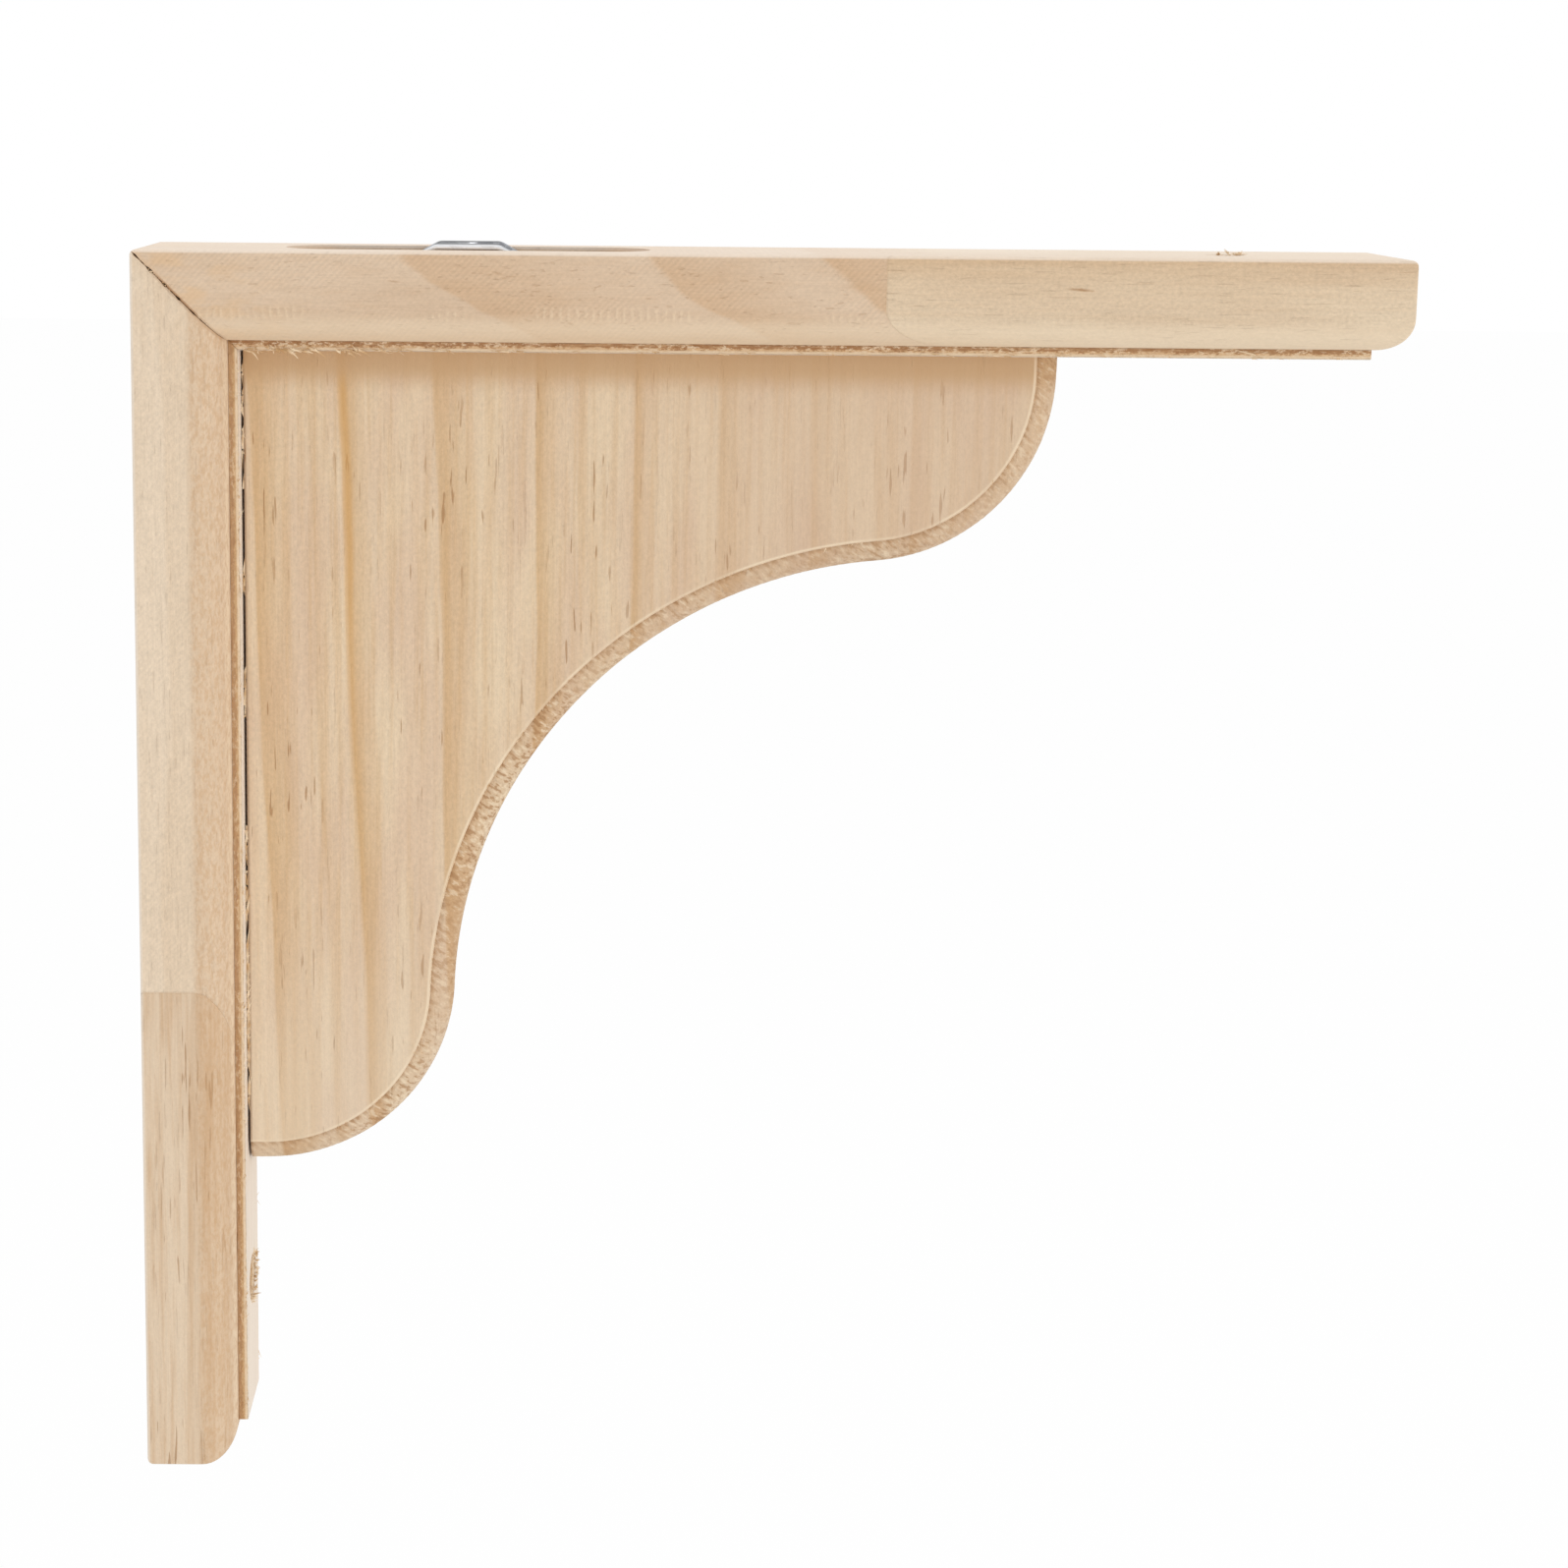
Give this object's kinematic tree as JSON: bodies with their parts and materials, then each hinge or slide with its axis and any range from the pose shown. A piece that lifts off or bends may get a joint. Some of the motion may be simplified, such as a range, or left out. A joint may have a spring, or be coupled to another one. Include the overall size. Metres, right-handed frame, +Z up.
{
  "type": "corbel bracket",
  "caption": "Plain pine corbel bracket: a mitred wall leg and shelf arm, a thin S-curved web between them and a keyhole hanger plate let into the arm's outer face.",
  "frame": {"origin": "middle of the wall leg's outer face, which lies against the wall", "axes": "+X away from the wall along the shelf arm, +Z up, Y across the width of the arms"},
  "size_m": [0.2, 0.027, 0.2009],
  "materials": {
    "pine": "planed and routed, unfinished",
    "pine_web": "planed and routed, unfinished",
    "zinc": "bright zinc plate"
  },
  "bodies": {
    "root": {"shelf_arm": "pine", "wall_leg": "pine", "web_panel": "pine_web", "hanger_plate": "zinc", "plate_screw_a": "zinc", "plate_screw_b": "zinc"}
  },
  "joints": []
}
